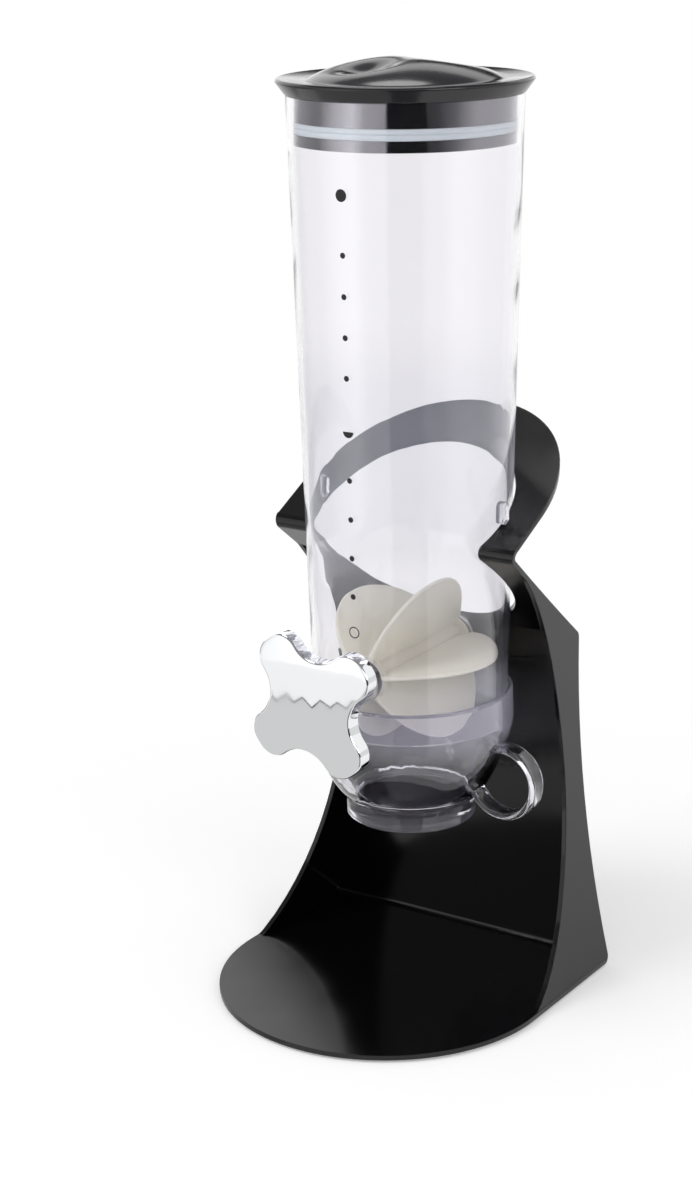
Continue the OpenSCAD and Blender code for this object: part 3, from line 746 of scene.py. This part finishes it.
class FoodBinSettings(bpy.types.PropertyGroup):
    """Sizes and colours that a user would change."""

    stand_colour: StringProperty(
        name="Stand colour", description="sRGB hex colour of the enamelled stand",
        default="#060607")
    lid_colour: StringProperty(
        name="Lid colour", description="sRGB hex colour of the moulded lid", default="#1E1E21")
    flap_colour: StringProperty(
        name="Flap colour", description="sRGB hex colour of the silicone flaps",
        default="#F1EFE3")
    flap_sag: FloatProperty(
        name="Flap sag", description="How far a flap's tip turns down under its weight",
        default=math.radians(8), subtype="ANGLE")
    big_dot: FloatProperty(
        name="Large mark", description="Radius of the full, half and empty marks",
        default=2.6 * MM, subtype="DISTANCE", precision=4)
    small_dot: FloatProperty(
        name="Small mark", description="Radius of the small dots between the large marks",
        default=1.25 * MM, subtype="DISTANCE", precision=4)
    dot_pitch: FloatProperty(
        name="Mark pitch", description="Distance from one small dot to the next",
        default=17.0 * MM, subtype="DISTANCE", precision=4)


# ---- Operators ----

class FOODBIN_OT_small_parts(bpy.types.Operator):
    """Gives the bearings, the shaft and the other small carried-over parts their finish"""

    bl_idname = "food_bin.small_parts"
    bl_label = "Small Parts"

    def execute(self, context):
        acetal = plain_plastic("natural_acetal", "#D9D8D2", 0.35, 0.45)
        satin = plain_plastic("satin_off_white_plastic", "#E3DED0", 0.5, 0.65)
        rubber = plain_plastic("black_rubber", "#161616", 0.7, 0.85, 0.8, 0.02)
        steel = turned_steel()
        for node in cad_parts:
            paint(node, satin)
        for node in ("front_bush", "rear_bush"):
            paint(node, acetal)
        for node in ("drive_shaft", "hub_pin", "retaining_clip", "knob_screw"):
            paint(node, steel)
        paint("shaft_seal", rubber)
        finish_piece("rubber_feet_moulded", feet_mesh(), "frame_stand", rubber,
                     ("rubber_feet",))
        return {"FINISHED"}


class FOODBIN_OT_stand(bpy.types.Operator):
    """Makes the folded sheet stand"""

    bl_idname = "food_bin.stand"
    bl_label = "Stand"

    def execute(self, context):
        lacquer = black_lacquer(context.scene.food_bin.stand_colour)
        smooth_copy("stand", "frame_stand", lacquer)
        return {"FINISHED"}


class FOODBIN_OT_canister(bpy.types.Operator):
    """Makes the clear canister and its printed level marks"""

    bl_idname = "food_bin.canister"
    bl_label = "Canister"

    def execute(self, context):
        # The canister's milky bands are painted reflection of the bright surroundings.
        clear = clear_plastic("clear_styrene_canister", "#FDFCFE", "#E0E3F0", 0.02,
                              CAN_PAINTED_REFLECTION, CAN_CLEAR_PAST_MM)
        smooth_copy("canister", "bin", clear)
        make_marks(context.scene.food_bin)
        return {"FINISHED"}


class FOODBIN_OT_cup(bpy.types.Operator):
    """Makes the clear catch cup with its finger loop"""

    bl_idname = "food_bin.cup"
    bl_label = "Catch Cup"

    def execute(self, context):
        # The cup's milky haze is painted reflection in the bowl and painted refracted light round
        # the foot.
        clear = clear_plastic("clear_styrene_cup_painted_reflection", "#F6F5FA", "#DCDAE8", 0.03,
                              CUP_PAINTED_REFLECTION, CUP_CLEAR_PAST_MM)
        smooth_copy("catch_cup", "cup", clear)
        return {"FINISHED"}


class FOODBIN_OT_lid(bpy.types.Operator):
    """Makes the lid's cap, its plug and the gasket round it"""

    bl_idname = "food_bin.lid"
    bl_label = "Lid"

    def execute(self, context):
        black = plain_plastic("moulded_black_gloss_plastic", context.scene.food_bin.lid_colour,
                              0.12, 0.2)
        finish_piece("lid_cap_moulded", lid_mesh(), "lid", black, ("lid_cap",), 35)
        plug = plated("black_chrome_plating_on_lid_plug", "#A09FA4", (15, 0.06, 0.1), 0.01)
        smooth_copy("lid_plug", "lid", plug)
        ring = silicone("clear_white_silicone_gasket", "#E2EAEE", "#D8E1E6", 1.0)
        finish_piece("lid_gasket_ring", gasket_mesh(), "lid", ring,
                     ("lid_gasket",), 60)
        return {"FINISHED"}


class FOODBIN_OT_wheel(bpy.types.Operator):
    """Makes the silicone paddle wheel on its hub"""

    bl_idname = "food_bin.wheel"
    bl_label = "Paddle Wheel"

    def execute(self, context):
        settings = context.scene.food_bin
        soft = silicone("off_white_silicone_flap", settings.flap_colour, "#E8E5D8", 1.5)
        leaves = baked(leaf_mesh(), leaves_rule(soft), {
            "Count": FLAP_COUNT, "First Turn": math.radians(-FLAP_TURN),
            "Shaft": (0.0, AXIS_Y, SHAFT_Z), "Reach": FLAP_HIGH.x, "Sag": settings.flap_sag})
        nodes = [f"flap_{k + 1}" for k in range(FLAP_COUNT)]
        finish_piece("flap_leaves", leaves, "wheel", soft, nodes, 50)
        return {"FINISHED"}


class FOODBIN_OT_knob(bpy.types.Operator):
    """Makes the four-armed chrome knob"""

    bl_idname = "food_bin.knob"
    bl_label = "Knob"

    def execute(self, context):
        chrome = plated("bright_chrome_plating_on_plastic", "#F0F1F3", (12, 0.03, 0.07), 0.02)
        finish_piece("knob_shell_plated", knob_mesh(), "wheel", chrome,
                     ("knob_front",), 30)
        smooth_copy("knob_back", "wheel", chrome)
        return {"FINISHED"}


class FOODBIN_OT_stage(bpy.types.Operator):
    """Sets up the floor, the lamps, the white surroundings and the camera"""

    bl_idname = "food_bin.stage"
    bl_label = "Studio"

    def execute(self, context):
        make_camera(context)
        make_floor(context)
        make_cards(context)
        make_world(context)
        make_lamps(context)
        context.scene.view_settings.view_transform = "Standard"
        return {"FINISHED"}


# The camera is set as the photograph's own was, solved from the object's outline. Its place is
# in metres from the canister's axis at the floor.
CAMERA_FROM_AXIS = Vector((0.5426, -0.8538, 0.4891))
CAMERA_TURN = 34.02
CAMERA_DIP = 17.05
CAMERA_ROLL = -0.97
CAMERA_FOCAL_PX = 2403.8
PHOTO_HEIGHT_PX = 1191
SENSOR_MM = 36.0

# From here on sizes are in metres, and compass directions in degrees from +X towards +Y.
# The floor shows its own light and shadow out to the first distance and plain white past the
# second.
FLOOR_HALF = 3.0
FLOOR_NEAR = 0.12
FLOOR_FAR = 0.42
FLOOR_LIFT = 0.3
# The light on the object from all round, and the lamps: place, size and power.
WORLD_POWER = 0.55
LAMPS_AT_Z = 0.2
LAMPS = {"key": ((-0.9, -1.2, 1.5), 0.9, 13.0), "fill": ((1.6, -0.6, 0.9), 1.0, 6.0)}
# The grey card: where it starts and ends in front of the knob, its turn, half width and zigzag,
# and the dark line along the zigzag. The floor's cards lie a little over each other.
CARD_NEAR = 0.02
CARD_FAR = 0.44
CARD_TURN = -34
CARD_SPAN = 0.33
CARD_TEETH = 44
CARD_TOOTH = 0.026
CARD_LINE = 0.008
CARD_Z = 0.001
GAP_Z = 0.0015
BAND_Z = 0.0005
CARD_STEPS = 72
# The light bands: compass direction, and brightness as a share of the full power. They lie on
# the floor between two distances and stand up behind that to a low wall.
BANDS = ((-180, 0.3), (-152, 0.25), (-135, 0.62), (-112, 1.0), (-98, 0.53), (-77, 0.46),
         (-75, 0.0), (-37, 0.0), (-35, 0.05), (-25, 0.05), (-7, 0.18), (17, 0.5), (60, 0.52),
         (80, 0.66), (160, 0.66), (172, 0.3))
BAND_POWER = 1.5
BAND_NEAR = 0.7
BAND_FAR = 3.0
BAND_WALL_R = 2.999
BAND_TOP = 0.5
# The gap between the light bands goes on towards the object as a grey card.
GAP = (-75, -37)
GAP_NEAR = 0.16
GAP_HEX = "#77777A"
# The bright card behind the object: distance, directions, heights and power.
BACK_R = 2.0
BACK = (60, 185)
BACK_LOW = 0.35
BACK_HIGH = 1.9
BACK_POWER = 1.35
# The dark screen before it: distance, where it starts, and its slanted other edge as heights and
# directions.
SCREEN_R = 1.9
SCREEN_FROM = 105
SCREEN_EDGE = ((0.75, 131.4), (1.05, 125.0), (1.2, 122.0))
SCREEN_HEX = "#0A0A0B"
# The soft box overhead: middle, radius, height and power. The ceiling's card hangs above it.
BOX_AT = (-0.45, 0.35)
BOX_R = 0.6
BOX_Z = 2.1
BOX_POWER = 5.0
CEILING_R = 3.4
CEILING_Z = 2.2
CEILING_HEX = "#8E8E90"


def make_camera(context):
    """The photograph's camera: place, direction, roll and focal length."""
    a, e, r = (math.radians(v) for v in (CAMERA_TURN, CAMERA_DIP, CAMERA_ROLL))
    right = Vector((math.cos(a), math.sin(a), 0))
    back = Vector((math.sin(a) * math.cos(e), -math.cos(a) * math.cos(e), math.sin(e)))
    up = back.cross(right)
    x_axis = math.cos(r) * right + math.sin(r) * up
    y_axis = -math.sin(r) * right + math.cos(r) * up
    data = bpy.data.cameras.new("camera")
    data.sensor_fit = "AUTO"
    data.sensor_width = SENSOR_MM
    data.lens = SENSOR_MM * CAMERA_FOCAL_PX / PHOTO_HEIGHT_PX
    camera = bpy.data.objects.new("camera", data)
    camera.matrix_world = Matrix.Translation(CAMERA_FROM_AXIS + Vector((0, AXIS_Y, 0))) @ Matrix(
        (x_axis, y_axis, back)).transposed().to_4x4()
    context.scene.collection.objects.link(camera)
    context.scene.camera = camera


def seen_directly(tree):
    """One for rays that show the background: camera, mirror and clear rays."""
    path = add_node(tree, "ShaderNodeLightPath")
    first = add_node(tree, "ShaderNodeMath", settings={"operation": "MAXIMUM"},
                     links={0: path.outputs["Is Camera Ray"], 1: path.outputs["Is Glossy Ray"]})
    return add_node(tree, "ShaderNodeMath", settings={"operation": "MAXIMUM"},
                    links={0: first.outputs[0], 1: path.outputs["Is Transmission Ray"]}).outputs[0]


def make_floor(context):
    """A wide floor that reads white like the surroundings and keeps the object's shadow."""
    corners = [(x * FLOOR_HALF, y * FLOOR_HALF, 0) for x, y in ((-1, -1), (1, -1), (1, 1), (-1, 1))]
    data = new_mesh("floor", corners, [(0, 1, 2, 3)])
    floor = bpy.data.objects.new("floor", data)
    context.scene.collection.objects.link(floor)
    material, tree = new_material("white_studio_floor")
    place = add_node(tree, "ShaderNodeTexCoord")
    away = add_node(tree, "ShaderNodeVectorMath", settings={"operation": "LENGTH"},
                    links={0: place.outputs["Object"]})
    far = add_node(tree, "ShaderNodeMapRange", settings={"interpolation_type": "SMOOTHSTEP"},
                   values={"From Min": FLOOR_NEAR, "From Max": FLOOR_FAR},
                   links={"Value": away.outputs["Value"]})
    diffuse = add_node(tree, "ShaderNodeBsdfDiffuse", values={"Color": linear("#F4F4F4")})
    lift, white = (add_node(tree, "ShaderNodeEmission",
                            values={"Color": linear("#FFFFFF"), "Strength": power})
                   for power in (FLOOR_LIFT, 1.0))
    near = add_node(tree, "ShaderNodeAddShader", links={0: diffuse.outputs[0], 1: lift.outputs[0]})
    shown = add_node(tree, "ShaderNodeMixShader",
                     links={0: far.outputs[0], 1: near.outputs[0], 2: white.outputs[0]})
    mixed = add_node(tree, "ShaderNodeMixShader",
                     links={0: seen_directly(tree), 1: diffuse.outputs[0], 2: shown.outputs[0]})
    finish_material(tree, mixed)
    data.materials.append(material)


def mirror_card(context, name, points, faces, light_of):
    """A studio card that shows only in reflections, also in those behind clear plastic."""
    data = new_mesh(name, points, faces)
    card = bpy.data.objects.new(name, data)
    material, tree = new_material(name)
    light = light_of(tree)
    unseen = add_node(tree, "ShaderNodeBsdfTransparent")
    path = add_node(tree, "ShaderNodeLightPath")
    bounced = add_node(tree, "ShaderNodeMath", settings={"operation": "GREATER_THAN"},
                       values={1: 0.5}, links={0: path.outputs["Glossy Depth"]})
    finish_material(tree, add_node(tree, "ShaderNodeMixShader", links={
        0: bounced.outputs[0], 1: unseen.outputs[0], 2: light.outputs[0]}))
    data.materials.append(material)
    for kind in ("camera", "diffuse", "volume_scatter", "shadow"):
        setattr(card, f"visible_{kind}", False)
    context.scene.collection.objects.link(card)


def plain_card(hex_colour, power=1.0):
    """The light of a card of one colour."""
    return lambda tree: add_node(tree, "ShaderNodeEmission",
                                 values={"Color": linear(hex_colour), "Strength": power})


def banded_card(tree):
    """Soft boxes and dark gaps round the object: brightness by compass direction."""
    place = add_node(tree, "ShaderNodeTexCoord")
    parts = add_node(tree, "ShaderNodeSeparateXYZ", links={0: place.outputs["Object"]})
    turn = add_node(tree, "ShaderNodeMath", settings={"operation": "ARCTAN2"},
                    links={0: parts.outputs["Y"], 1: parts.outputs["X"]})
    share = add_node(tree, "ShaderNodeMapRange", values={"From Min": -math.pi, "From Max": math.pi},
                     links={"Value": turn.outputs[0]})
    bands = grey_stops(add_node(tree, "ShaderNodeValToRGB", links={0: share.outputs[0]}),
                       [((degrees + 180) / 360, light) for degrees, light in BANDS])
    return add_node(tree, "ShaderNodeEmission", values={"Strength": BAND_POWER},
                    links={"Color": bands})


def around(radius, height, start=0, end=360):
    """Points round the object between two compass directions."""
    return [(x, y, height) for x, y in arc((0, 0), radius, start, end, CARD_STEPS)]


def make_zigzag_card(context):
    """A grey card in front of the knob, whose far edge is a dark zigzag."""
    edge = [(-CARD_SPAN + 2 * CARD_SPAN * k / CARD_TEETH,
             CARD_FAR + CARD_TOOTH * ((k % 2) * 2 - 1) * (0.4 + 0.6 * ((k * 7) % 5) / 5))
            for k in range(CARD_TEETH + 1)]
    turn = math.radians(CARD_TURN)
    across = Vector((math.cos(turn), math.sin(turn), 0))
    away = Vector((math.sin(turn), -math.cos(turn), 0))
    origin = Vector((0, KNOB_LOW.y, CARD_Z))
    outline = [(CARD_SPAN, CARD_NEAR), (-CARD_SPAN, CARD_NEAR)] + edge
    line = edge + [(x, y + CARD_LINE) for x, y in reversed(edge)]
    for name, points, hex_colour in (("grey_card", outline, "#D8D8D7"),
                                     ("dark_edge", line, "#353537")):
        mirror_card(context, name, [origin + across * x + away * y for x, y in points],
                    [tuple(range(len(points)))], plain_card(hex_colour))


def make_cards(context):
    """The cards on the floor, round the object and above it, seen only in reflections."""
    make_zigzag_card(context)
    back = plain_card("#FFFFFF", BACK_POWER)
    for name, rings, light_of in (
            ("light_bands", [around(r, BAND_Z) for r in (BAND_NEAR, BAND_FAR)], banded_card),
            ("light_band_wall", [around(BAND_WALL_R, z) for z in (BAND_Z, BAND_TOP)], banded_card),
            ("gap_near", [around(r, GAP_Z, *GAP) for r in (GAP_NEAR, BAND_NEAR)],
             plain_card(GAP_HEX)),
            ("bright_back", [around(BACK_R, z, *BACK) for z in (BACK_LOW, BACK_HIGH)], back),
            ("dark_screen", [around(SCREEN_R, z, SCREEN_FROM, end) for z, end in SCREEN_EDGE],
             plain_card(SCREEN_HEX))):
        mirror_card(context, name, joined(rings), loft(rings, closed=False), light_of)
    for name, at, radius, height, light_of in (
            ("overhead_box", BOX_AT, BOX_R, BOX_Z, plain_card("#FFFFFF", BOX_POWER)),
            ("dim_ceiling", (0, 0), CEILING_R, CEILING_Z, plain_card(CEILING_HEX))):
        disc = [(at[0] + x, at[1] + y, z) for x, y, z in around(radius, height)[:-1]]
        mirror_card(context, name, disc, [tuple(range(CARD_STEPS))], light_of)


def make_world(context):
    """White surroundings for the eye and for reflections, and a plain soft light on the object."""
    world = bpy.data.worlds.new("studio")
    world.use_nodes = True
    tree = world.node_tree
    tree.nodes.clear()
    soft, white = (add_node(tree, "ShaderNodeBackground",
                            values={"Color": linear("#FFFFFF"), "Strength": power})
                   for power in (WORLD_POWER, 1.0))
    mixed = add_node(tree, "ShaderNodeMixShader",
                     links={0: seen_directly(tree), 1: soft.outputs[0], 2: white.outputs[0]})
    add_node(tree, "ShaderNodeOutputWorld", links={"Surface": mixed.outputs[0]})
    context.scene.world = world


def make_lamps(context):
    """A large soft key from the upper left and a weaker fill from the right.

    The key doesn't show in reflections, where its square would lighten the black stand.
    """
    middle = Vector((0, AXIS_Y, LAMPS_AT_Z))
    for name, (place, size, power) in LAMPS.items():
        data = bpy.data.lights.new(name, "AREA")
        data.shape = "SQUARE"
        data.size = size
        data.energy = power
        lamp = bpy.data.objects.new(name, data)
        lamp.location = place
        lamp.visible_glossy = name == "fill"
        lamp.rotation_mode = "QUATERNION"
        lamp.rotation_quaternion = (middle - Vector(place)).to_track_quat("-Z", "Y")
        context.scene.collection.objects.link(lamp)


class FOODBIN_PT_panel(bpy.types.Panel):
    """Lists the steps that dress the bin"""

    bl_idname = "FOODBIN_PT_panel"
    bl_label = "Food Bin"
    bl_space_type = "VIEW_3D"
    bl_region_type = "UI"
    bl_category = "Food Bin"

    def draw(self, context):
        for name in FoodBinSettings.__annotations__:
            self.layout.prop(context.scene.food_bin, name)
        for step in STEPS:
            self.layout.operator(step.bl_idname)


STEPS = (FOODBIN_OT_stage, FOODBIN_OT_small_parts, FOODBIN_OT_stand, FOODBIN_OT_canister,
         FOODBIN_OT_cup, FOODBIN_OT_lid, FOODBIN_OT_wheel, FOODBIN_OT_knob)


def register():
    """Adds the settings, the operators and the panel."""
    bpy.utils.register_class(FoodBinSettings)
    for step in STEPS:
        bpy.utils.register_class(step)
    bpy.utils.register_class(FOODBIN_PT_panel)
    bpy.types.Scene.food_bin = PointerProperty(type=FoodBinSettings)


def unregister():
    """Takes them out again."""
    del bpy.types.Scene.food_bin
    bpy.utils.unregister_class(FOODBIN_PT_panel)
    for step in reversed(STEPS):
        bpy.utils.unregister_class(step)
    bpy.utils.unregister_class(FoodBinSettings)


def main():
    register()
    bpy.ops.food_bin.stage()
    bpy.ops.food_bin.small_parts()
    bpy.ops.food_bin.stand()
    bpy.ops.food_bin.canister()
    bpy.ops.food_bin.cup()
    bpy.ops.food_bin.lid()
    bpy.ops.food_bin.wheel()
    bpy.ops.food_bin.knob()


if __name__ == "__main__":
    main()
